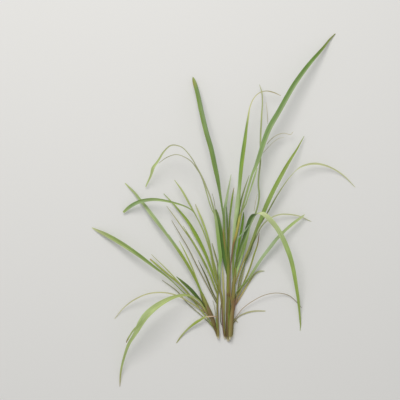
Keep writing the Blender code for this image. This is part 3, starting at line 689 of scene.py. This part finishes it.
# The centre stalk is the thickest, and the clump rests on its flattened underside.
# The broad blunt leaf stands in front of it and the tall one above, with three slim ones between.
CENTRE_STALK = [
    (0, -19, 3.0, 2.4), (0, -14, 3.6, 4.6), (0, -7, 3.8, 5.4), (0, 10, 3.8, 5.7),
    (0, 50, 4.0, 5.9), (0, 95, 4.4, 5.0), (0, 135, 5.0, 4.7), (0, 180, 7.0, 4.2),
    (1, 215, 10.0, 2.5),
]
CENTRE_COLOURS = [
    (0.0, "e4dcc4"), (0.03, "8c8458", "90884c"), (0.1, "6b4c30", "8a8440"),
    (0.16, "7a6c38", "8a9440", "7c6c38"), (0.26, "7c8c40", "80963c", "7c7038"),
    (0.38, "6c6c34", "7c8638", "8a8440"), (0.47, "6c6434", "7c7a38", "9cac58"),
    (0.49, "6b4a2c", "6b3f2c", "8a5c40"), (0.52, "7c7a34", "8a8c34", "7c7c34"),
    (0.7, "747a34", "8a8c38", "70803a"), (1.0, "6c8438", "728a3c"),
]
grow_stalk("centre_stalk", "centre_stem", CENTRE_STALK, CENTRE_COLOURS)
for number, (stretch, facing, spread, colours) in enumerate([
    ((0.14, 0.30), 128, 30, [(0, "6f7a34"), (0.4, "7c9040", "80983c"), (1, "8aa048", "7c8c40")]),
    ((0.32, 0.485), 42, 26, [(0, "8a9440", "8a7c40"), (0.5, "8aa050", "98a854"), (1, "b4c078", "98a050")]),
    ((0.30, 0.50), 110, 38, [(0, "6c6c34", "7c8438"), (0.9, "6c6434", "7c7434"), (1, "6b3f2c", "7a4c34")]),
    ((0.50, 0.78), 75, 52, [(0, "7c6c34"), (0.1, "8a8838", "7c7c34"), (1, "7a8c38", "8a9844")]),
]):
    wrap_sheath("centre_stalk", f"centre_wrap_{number + 1}", CENTRE_STALK, stretch, facing, spread,
                colours, gap=WRAP_GAP * (1 + number), thickness=WRAP_THICKNESS)

broad_leaf = [
    (0, 140, 5, 6), (-5, 165, 8, 8), (-11, 195, 12, 10), (-18, 235, 13, 13), (-24, 270, 13, 14),
    (-30, 300, 11, 10), (-32, 311, 9, 5),
]
grow_leaf("centre_stalk", "broad_left_of_centre_leaf", broad_leaf, [0], [
    (0, "5c7830", "6f8434"), (0.4, "486c2c", "4a7028", "587c28"), (0.8, "4c6c30", "547830", "6c8c3c"),
    (1, "6c8a3c", "6f8438")])

tall_upper_left = [
    (0, 165, 6, 4), (-6, 222, 20, 3.5), (-13, 297, 36, 4), (-17, 325, 43, 5), (-22, 357, 48, 6.8),
    (-27, 387, 53, 10), (-33, 415, 56, 11.6), (-43, 461, 60, 12), (-56, 507, 56, 12),
    (-68, 558, 44, 11.8), (-79, 609, 24, 10.5), (-85, 630, 14, 9), (-87.3, 638, 11, 6.4),
    (-88.8, 643, 9.5, 1.8),
]
grow_leaf("centre_stalk", "tall_upper_left_leaf", tall_upper_left, [30, 0, -10], [
    (0, "708838"), (0.3, "6c8a44", "7a964e"), (0.6, "7a9444", "6c8a44", "6a8550"),
    (0.93, "76923c", "638048"), (0.965, "8f9040", "7c9048"), (1, "8a9a50", "869a50")])

centre_left_slim = [
    (0, 160, 7, 4), (-9, 225, 18, 5), (-11, 283, 28, 7.4), (-11, 303, 28, 7), (-6, 330, 27, 6.4),
    (0, 362, 23, 4.4), (7, 399, 14, 1),
]
grow_leaf("centre_stalk", "centre_left_slim_leaf", centre_left_slim, [0], [
    (0, "7a8a3c"), (0.2, "7c8a3c"), (0.27, "a08640", "7c7c3c"), (0.4, "a08c44", "848c44"),
    (0.46, "98ac74", "8ca068"), (0.65, "a4b98c", "88a468"), (1, "a4b488")])

centre_dark_slim = [
    (-1, 170, 7, 4), (-2.6, 255, 18, 3.6), (-3.4, 287, 22, 4.4), (-5, 320, 24, 1),
]
grow_leaf("centre_stalk", "centre_dark_slim_leaf", centre_dark_slim, [0], [
    (0, "6c7c34"), (1, "5c7c3c")])

centre_right_slim = [
    (0, 170, 7, 4), (-0.5, 190, 9, 6), (0, 215, 11.4, 6.4), (0.5, 243, 14, 6), (2, 266, 17, 4.2),
    (3.6, 292, 21, 4), (6.3, 315.6, 24, 4.6), (10, 343, 22, 4.4), (14, 366, 18, 1),
]
grow_leaf("centre_stalk", "centre_right_slim_leaf", centre_right_slim, [0], [
    (0, "6c8434"), (0.2, "6f8a34", "7c8838"), (0.4, "74842f", "7c8430"), (0.6, "6f8438"),
    (0.8, "7c9a34", "6f8f28"), (0.93, "7c8a34"), (1, "8a6a34")])

# The right of centre stalk lies on its two neighbours. It carries the tallest leaf, the one whose tip
# curls over, and the wide one that turns its underside up at the top of its arch and droops.
RIGHT_OF_CENTRE_STALK = [
    (4, -14, 12.6, 2.2), (4.6, -6, 13.4, 3.2), (6, 15, 14.2, 3.8), (8, 42, 15.0, 4.3),
    (11, 65, 13.5, 4.4), (12, 92, 11.0, 4.4), (13, 122, 9.5, 4.2), (17, 155, 11.0, 3.4),
    (20, 180, 13.0, 2.5),
]
RIGHT_OF_CENTRE_COLOURS = [
    (0.0, "e4dcc4"), (0.06, "9a9c58", "9a9850", "8a7c44"), (0.25, "9a9c58", "8f8c48", "7a5c38"),
    (0.4, "8a8a44", "8a8440", "7c6038"), (0.55, "86864c", "86803c", "7c6c44"),
    (0.7, "7c8440", "847844", "8a9838"), (0.9, "86983c", "8a8848", "8f9a4c"),
    (1.0, "6f9040", "7c9c4c", "8aa458"),
]
grow_stalk(
    "right_of_centre_stalk", "right_of_centre_stem", RIGHT_OF_CENTRE_STALK, RIGHT_OF_CENTRE_COLOURS)
for number, (stretch, facing, spread, colours) in enumerate([
    ((0.52, 0.80), 100, 40, [(0, "86803c"), (0.6, "807444", "8a803f"), (1, "8a8448", "98905c")]),
    ((0.56, 0.74), 38, 26, [(0, "86783c"), (0.5, "8a9838", "7c8434"), (1, "94a040", "8a8c40")]),
]):
    wrap_sheath("right_of_centre_stalk", f"right_of_centre_wrap_{number + 1}", RIGHT_OF_CENTRE_STALK,
                stretch, facing, spread, colours, gap=WRAP_GAP * (1 + number), thickness=WRAP_THICKNESS)

tallest_right = [
    (13, 125, 9, 5), (12, 180, 16, 5), (16, 222, 20, 5.2), (24, 262, 25, 5.2),
    (31.5, 300, 30, 4.8), (40.8, 336, 35, 4.8), (53, 379, 40, 5.2), (60.2, 402, 43, 6.2),
    (67, 417, 44.8, 8.2), (74.5, 437, 48, 10.8), (85, 470, 52, 11.8), (98, 506, 54, 13.2),
    (128, 560, 54, 12.4), (166, 626, 46, 11.8), (206, 680, 31, 9.5), (239, 718, 14, 6.5),
    (255, 738.5, 6, 4), (268.5, 752, 0, 2.2),
]
grow_leaf("right_of_centre_stalk", "tallest_right_leaf", tallest_right, [0, 10, 0], [
    (0, "7c9038"), (0.12, "7c8c40", "7f9a4c", "a0bc78"), (0.25, "8fa058", "98ac68"),
    (0.4, "98b078", "90a86c"), (0.52, "86a468", "749450", "98ac7c"),
    (0.7, "6f9048", "5c8034", "88a068"), (0.88, "6a8c3c", "587c2c", "7c9a54"), (1, "7c8438")])

curled_end = [
    (13, 130, 10, 5), (12, 200, 22, 6), (16, 275, 33, 8), (21, 307, 38, 11), (24, 335, 42, 11),
    (27, 365, 47, 8.5), (30, 400, 51, 9.5), (34, 436, 54, 10), (41, 486, 58, 8.6),
    (45, 517, 59, 6), (49, 542, 58, 4.6), (53, 565, 55, 2.8), (61, 585, 51, 2.2), (75, 601, 45, 2),
    (93, 607, 38, 2), (112, 604, 30, 2.4), (131, 596, 20, 1),
]
grow_leaf("right_of_centre_stalk", "curled_end_leaf", curled_end, [0], [
    (0, "7c8c3c"), (0.15, "8ea45c", "6c8c38"), (0.25, "b9cc9c", "b0c490", "7c9a50"),
    (0.40, "b9cc9c", "b0c490", "7c9a44"), (0.46, "8fac64", "7c9a44"), (0.55, "6f9a40", "8aa438"),
    (0.72, "7c9848", "8ea450"), (0.8, "c8cc90"), (0.86, "c0c088"), (0.92, "a8a478"), (1, "b4a878")])

thin_vertical = [
    (15, 140, 9, 4), (39, 222, 13, 4), (56, 275, 18, 4), (68, 302, 21, 4), (77, 351, 25, 4),
    (75, 370, 26, 4), (80, 435, 30, 4), (80, 481, 32, 4), (83, 545, 32, 4), (85, 583, 26, 3),
    (84, 602, 22, 3), (78, 624, 14, 1),
]
grow_leaf("right_of_centre_stalk", "thin_vertical_leaf", thin_vertical, [0], [
    (0, "7c8c40"), (0.4, "98a874", "8ca060"), (1, "a4ac7c")])

right_short = [(14, 140, 9, 4), (28, 235, 14, 6), (32, 257, 16, 6), (37, 290, 19, 5), (38, 305, 19, 1)]
grow_leaf("right_of_centre_stalk", "right_of_centre_short_leaf", right_short, [0], [
    (0, "86983c"), (0.5, "74a020", "6c9424"), (1, "74982c")])

behind_tallest = [(18, 240, 22, 4), (33, 339, 31, 4), (42, 368, 32, 3), (52, 397, 32, 1)]
grow_leaf("right_of_centre_stalk", "behind_the_tallest_leaf", behind_tallest, [0], [
    (0, "6c8438"), (0.3, "708838", "688034"), (0.7, "869658", "7c8c50"), (1, "8c9c5c")])

right_droop = [
    (17, 160, 12, 4), (24, 192, 26, 6), (31, 217, 38, 7), (41, 245, 52, 10), (48, 268, 64, 11),
    (55, 287, 75, 12), (61, 297, 81, 12), (69, 302, 86, 11), (77, 303, 89, 11), (84, 302, 91, 11),
    (92, 297, 92, 12), (104, 285, 92, 12.5), (118, 268, 89, 12), (132, 245, 84, 12),
    (145, 216, 75, 12.2), (155, 188, 65, 11), (163, 155, 51, 10), (169, 122, 37, 8.5),
    (175, 85, 21, 7), (178, 56, 10, 5), (180, 34, 4, 4), (181, 20, 1, 2.8), (180, 7, 0, 1),
]
RIGHT_DROOP_ROLLS = [20, 10, 10, 5, 0, -8, -30, -78, -115, -145, -168, -178] + [-180] * 11
grow_leaf("right_of_centre_stalk", "right_droop_leaf", right_droop, RIGHT_DROOP_ROLLS, [
    (0, "7c9040"), (0.1, "5a7434", "5a7434", "8aa468"), (0.2, "4f6c2c", "507030", "5c7838", "a4b890"),
    (0.31, "4f6c2c", "507030", "5c7838", "a8bc90"), (0.33, "a0b07c"), (0.345, "c4d09c"),
    (0.42, "b4c48c"), (0.5, "a8bc80"), (0.6, "a6bf70", "9ab866"), (0.75, "98b450", "a2bc62"),
    (1, "8ea052")])

pale_edge = [
    (18.5, 178, 24, 1.4), (18.8, 205, 37, 2), (19.8, 229, 47, 2.4), (26, 242, 54, 2.8),
    (36.5, 254, 61, 2.8), (46, 265, 66.5, 2.2), (52, 275, 71, 1),
]
grow_leaf("right_of_centre_stalk", "right_droop_pale_edge", pale_edge, [0], [
    (0, "6f8c44"), (0.4, "88a864"), (0.7, "94b088"), (1, "a0b88c")])

# This leaf's colours are lightened beyond its own pale green to make up for the shade the leaves above cast on
# it: painted light.
right_pale_mid = [
    (14, 130, 9, 4), (29, 182, 15, 6), (40, 217, 23, 6.5), (47, 240, 26, 4.5), (54, 266, 28, 1),
]
grow_leaf("right_of_centre_stalk", "right_pale_mid_leaf", right_pale_mid, [0], [
    (0, "8f9a4c"), (0.15, "9cb468", "a4c080"), (0.35, "a8c478", "b0cc8c"), (0.6, "a4c468", "98b85c"),
    (1, "9cb864")])

right_broad = [
    (13, 115, 9, 3.5), (29, 159, 12, 3), (42, 191, 18, 3.4), (54, 220, 24, 5), (67, 253, 31, 7.5),
    (81, 288, 38, 9.2), (94.7, 321.6, 43, 11), (111, 357, 43, 10.4), (129, 391, 39, 9.8),
    (149, 426.5, 31, 7.8), (160.5, 445, 25, 6), (171.5, 462, 19, 4.2), (181.5, 480, 13, 2.6),
    (190, 495, 9, 1),
]
grow_leaf("right_of_centre_stalk", "right_broad_leaf", right_broad, [0], [
    (0, "8a7c44"), (0.12, "b0a054", "94903c"), (0.3, "98a860", "8a9c50"),
    (0.45, "90a860", "7c9848"), (0.7, "8aa444", "789438"), (1, "8a9c40")])

blunt_leaf_hair = [(-32, 309, 9.5, 0.9), (-36, 334, 12, 0.9), (-40.5, 351, 13, 0.6)]
grow_leaf("centre_stalk", "broad_leaf_hair", blunt_leaf_hair, [0], [(0, "8a8c50"), (1, "7a7c48")])

# The right stalk is slim, purple-brown at the foot, and carries the thin leaves low on the right.
RIGHT_STALK = [
    (9.2, -9, 2.6, 1.9), (9.4, -2, 2.8, 2.6), (10.8, 32, 3.0, 3.1), (12, 57, 3.3, 3.8),
    (17, 77, 3.0, 3.2), (22, 92, 2.8, 2.8), (29, 107, 3.0, 2.2), (35, 120, 4.0, 1.5),
]
RIGHT_COLOURS = [
    (0.0, "e0d8bc"), (0.05, "8a8448", "9a9c54"), (0.3, "7a6440", "8f9048"), (0.42, "6f5a38", "8a8044"),
    (0.5, "7c6044", "8f6c58"), (0.68, "8f6c58", "8a6c50"), (0.75, "94785c", "8a8448"),
    (0.85, "8a8848", "98984c"), (1.0, "98a454"),
]
grow_stalk("right_stalk", "right_stem", RIGHT_STALK, RIGHT_COLOURS)
# The pale pink at the top left of this wrap is partly its own pink-brown and partly painted highlight.
wrap_sheath("right_stalk", "right_wrap", RIGHT_STALK, (0.48, 0.78), 70, 44,
            [(0, "7c6044"), (0.4, "8f6c58", "9a7464"), (1, "a08468", "8a8448")],
            gap=WRAP_GAP, thickness=WRAP_THICKNESS)

right_thin_hooked = [
    (22, 92, 3, 3), (26, 127, 4, 2.6), (37, 165, 8, 2.6), (56, 210, 14, 3), (73, 261, 20, 3.4),
    (99, 306, 26, 3.2), (124, 350, 30, 2.8), (155, 394, 32, 1.8), (168, 408, 32, 1.4),
    (178, 416, 31, 3.4), (195, 423, 29, 4.6), (214, 426, 26, 5), (237, 423, 20, 4.4),
    (263, 413, 12, 3.4), (288, 397, 6, 2.6), (318, 367, 0, 1),
]
grow_leaf("right_stalk", "right_thin_hooked_leaf", right_thin_hooked, [0], [
    (0, "8a8848"), (0.15, "7c8c40", "6f8038"), (0.45, "8a9858", "7c8c4c"), (0.57, "98a06c"),
    (0.62, "c0c898", "b4bc88"), (1, "c8cc9c")])

right_arch = [
    (23, 95, 3, 3), (36, 150, 5, 3), (46, 195, 9, 3), (65, 233, 15, 3), (88, 275, 19, 3),
    (106, 290, 20, 3), (131, 299, 18, 3), (151, 299, 14, 3), (176, 295, 8, 2.6), (208, 281, 0, 1),
]
grow_leaf("right_stalk", "right_arch_leaf", right_arch, [0], [
    (0, "8a8848"), (0.3, "a8ac84", "98a070"), (0.5, "c0c898", "b0b880"), (1, "bcc090")])

right_diagonal = [
    (17, 79, 3, 3), (22, 90, 4, 3), (29, 103, 6, 3), (35, 117, 8, 3.4), (45, 130, 9.5, 4.4),
    (53, 141, 11, 5.4), (62, 155.7, 13, 6.4), (84, 190, 18, 7.5), (103, 215, 23, 9),
    (122, 239, 26, 8), (144, 261, 26, 7), (165, 279, 21, 6.8), (180, 290, 17, 5.4),
    (188, 296, 15, 3.4), (191, 299, 14, 1),
]
grow_leaf("right_stalk", "right_diagonal_leaf", right_diagonal, [0, 20, 0], [
    (0, "9a8c50"), (0.2, "90a058", "8a9c50"), (0.4, "a4b88c", "98b078"), (0.6, "a8bc94", "9cb480"),
    (0.85, "a0b870", "98b060"), (1, "b8c490")])

diagonal_strand = [
    (17.5, 88, 4, 1.6), (19.3, 100.3, 6, 2.2), (23.7, 108.2, 8, 2.4), (31, 118, 10, 2.4),
    (40.5, 128, 12, 2.2), (52, 142.5, 13, 1),
]
grow_leaf("right_stalk", "diagonal_strand", diagonal_strand, [0], [
    (0, "6c7440"), (0.4, "84a058"), (1, "8aa468")])

right_brownish_low = [
    (16, 69, 2.5, 4), (33, 97, 2, 4.6), (49, 124, 2, 4.4), (59, 140, 3, 4.2), (67, 150, 3, 4),
    (78, 156, 2, 3.6), (91, 157, 1, 1),
]
grow_leaf("right_stalk", "right_brownish_low_leaf", right_brownish_low, [0], [
    (0, "98785c"), (0.3, "a89c68", "b0a870"), (0.6, "a8ac68", "a8ac64"), (1, "b0b88c")])

right_brown_tip = [
    (22, 92, 3, 3), (45, 142, 10, 4), (54, 165, 16, 4), (64, 197, 22, 4), (73, 225, 28, 3),
    (77, 253, 31, 1),
]
grow_leaf("right_stalk", "right_brown_tip_leaf", right_brown_tip, [0], [
    (0, "8a8848"), (0.75, "8a9c38", "8a9440"), (0.92, "7c5c2c"), (1, "5c3414")])

right_hair_arch = [
    (12, 30, 3, 1.6), (35, 62, 8, 1.6), (63, 83, 12, 1.6), (91, 97, 14, 1.6), (120, 102, 11, 1.6),
    (151, 96, 5, 1.6), (184, 65, 0, 1),
]
grow_leaf("right_stalk", "right_hair_arch_leaf", right_hair_arch, [0], [
    (0, "a08c6c"), (0.4, "a89878"), (1, "8c8468")])

right_low_short = [
    (12, 24, 2.5, 2), (24, 41, 2, 2), (42, 51, 2, 3), (63, 56, 1, 3.6), (93, 56.5, 0, 2.8),
]
grow_leaf("right_stalk", "right_low_short_leaf", right_low_short, [0], [
    (0, "8a7c50"), (0.4, "a8a878"), (1, "bcbc98")])

small_hook = [(12.5, 38, 6.2, 1.2), (14.5, 37, 6, 2), (19, 33, 3, 2.2), (23.8, 27.8, 1, 1.2)]
grow_leaf("right_stalk", "small_hook", small_hook, [0], [(0, "a8a868"), (1, "b8b484")])

# Four dry strands have come loose from the right of centre stalk.
for name, hair in {
    "dry_strand_upper": [(95.7, 474, 38, 1.2), (106, 486, 37, 1.6), (119, 496, 34, 1.6),
                         (138, 502, 28, 1.4), (158, 500, 20, 1.6), (162, 506, 18, 1)],
    "dry_strand_low": [(87, 453, 34, 0.9), (102.6, 470, 31, 0.9), (114, 481, 28, 1),
                       (125.6, 488.8, 24, 1), (138.5, 492, 19, 0.8)],
    "dry_strand_tall": [(98.5, 525, 36, 0.8), (96, 563, 33, 1.3), (94, 579, 28, 0.8)],
    "dry_strand_short": [(64, 307, 20, 0.9), (69, 335, 23, 1), (72.5, 350, 24, 0.8)],
}.items():
    grow_leaf("right_of_centre_stalk", name, hair, [0], [(0, "a8a484"), (1, "c4c0a8")])

# Dead outer sheaths: papery, brown with a purple tinge, wrapped part of the way round three stalks.
# A dying leaf has one round the right of centre stalk. Its blade is brown below, then yellow, and
# still pale green at its tip.
DEAD_GAP = 0.9 * MM
DEAD_THICKNESS = 0.35 * MM
LEANING_SHEATH = [(0, "7a7038", "6b5a34"), (0.4, "7c7440", "6b5638"), (1, "8a8048", "7c6850")]
CENTRE_SHEATH = [(0, "5c4c2c", "6b5c34"), (0.4, "5c4a26", "74683a"), (1, "7c7440", "74743c")]
# The pale pink streak down the middle of the right sheath, strongest seven tenths of the way up, is painted
# highlight over its pink-brown.
RIGHT_SHEATH = [
    (0, "5c4c30", "8a8448"), (0.4, "64543a", "7c7440"), (0.7, "8f7c60", "b09880", "7c6050"),
    (1, "8a7050", "8f6c58"),
]
papery_face = plant_skin(
    "Dead sheath, papery", tint="7a5c40", tint_share=0.1,
    roughness=0.65, vein_depth=0.3 * MM, fleck="3c2a1c")
for side, stalk, stretch, facing, spread, colours in [
    ("left_leaning", LEFT_LEANING_STALK, (0.24, 0.62), 95, 58, LEANING_SHEATH),
    ("centre", CENTRE_STALK, (0.05, 0.46), 128, 36, CENTRE_SHEATH),
    ("right", RIGHT_STALK, (0.05, 0.55), 100, 45, RIGHT_SHEATH),
]:
    wrap_sheath(side + "_dry_sheath", side + "_sheath", stalk, stretch, facing, spread, colours,
                papery_face, DEAD_GAP, DEAD_THICKNESS)
wrap_sheath("dying_outer_leaf", "dying_leaf_sheath", RIGHT_OF_CENTRE_STALK, (0.04, 0.5), 95, 70,
            [(0, "9a9858", "8a7c44"), (0.6, "8f8c4c", "7c6038"), (1, "8a7044", "7c5c38")],
            papery_face, DEAD_GAP, DEAD_THICKNESS)

dying_blade = [
    (10, 62, 18.9, 4), (8, 80, 18.5, 4), (5, 100, 17.5, 3.4), (3.4, 120, 17.5, 3),
    (4, 145, 19.5, 3), (6, 170, 22.5, 3), (8, 190, 25, 3.4), (12, 222, 30, 4.2), (18, 245, 33, 5),
    (24, 272, 36, 5.5), (30, 299, 39, 5.5), (36, 312, 40, 4), (43, 324, 41, 3.2),
    (48.4, 341, 42.5, 3), (54.4, 359, 44.5, 3.4), (61, 380, 47, 4), (66.2, 397, 49.5, 4.2),
    (71.4, 415, 52, 2),
]
grow_leaf("dying_outer_leaf", "dying_leaf_blade", dying_blade, [0], [
    (0, "8a7444"), (0.2, "80704c"), (0.38, "7c6448"), (0.46, "94703c", "8a7844"),
    (0.52, "b8ac50", "a4a048"), (0.62, "c4c068", "b0b058"), (0.68, "7c8c54"), (0.78, "9cb078"),
    (1, "a0b87c")])

# A plain pale studio: a matt floor, one large soft lamp from the tips' side and a pale sky.
FLOOR_SIZE = 6
FLOOR_COLOUR = (0.74, 0.75, 0.76, 1)
FLOOR_ROUGHNESS = 0.9
LAMP_WIDTH = 2.0
LAMP_POWER = 70
LAMP_COLOUR = (1, 0.965, 0.91)
LAMP_PLACE = (-0.6, 2.2, 2.9)
LAMP_AIM = (-0.05, 0.3, 0)
SKY_COLOUR = (1, 0.985, 0.95, 1)
SKY_STRENGTH = 0.5

floor_mesh = bpy.data.meshes.new("Floor")
ground = bmesh.new()
bmesh.ops.create_grid(ground, x_segments=1, y_segments=1, size=FLOOR_SIZE)
ground.to_mesh(floor_mesh)
ground.free()
floor = bpy.data.objects.new("Floor", floor_mesh)
bpy.context.collection.objects.link(floor)
pale = bpy.data.materials.new("Pale matt floor")
pale.use_nodes = True
matt = pale.node_tree.nodes["Principled BSDF"]
matt.inputs["Base Color"].default_value = FLOOR_COLOUR
matt.inputs["Roughness"].default_value = FLOOR_ROUGHNESS
floor_mesh.materials.append(pale)

lamp = bpy.data.lights.new("Soft lamp", "AREA")
lamp.shape = "DISK"
lamp.size = LAMP_WIDTH
lamp.energy = LAMP_POWER
lamp.color = LAMP_COLOUR
soft = bpy.data.objects.new("Soft lamp", lamp)
soft.location = LAMP_PLACE
soft.rotation_mode = "QUATERNION"
soft.rotation_quaternion = (Vector(LAMP_AIM) - soft.location).to_track_quat("-Z", "Y")
bpy.context.collection.objects.link(soft)

sky = bpy.data.worlds.new("Pale sky")
sky.use_nodes = True
sky.node_tree.nodes["Background"].inputs["Color"].default_value = SKY_COLOUR
sky.node_tree.nodes["Background"].inputs["Strength"].default_value = SKY_STRENGTH
bpy.context.scene.world = sky
bpy.context.scene.view_settings.view_transform = "Standard"
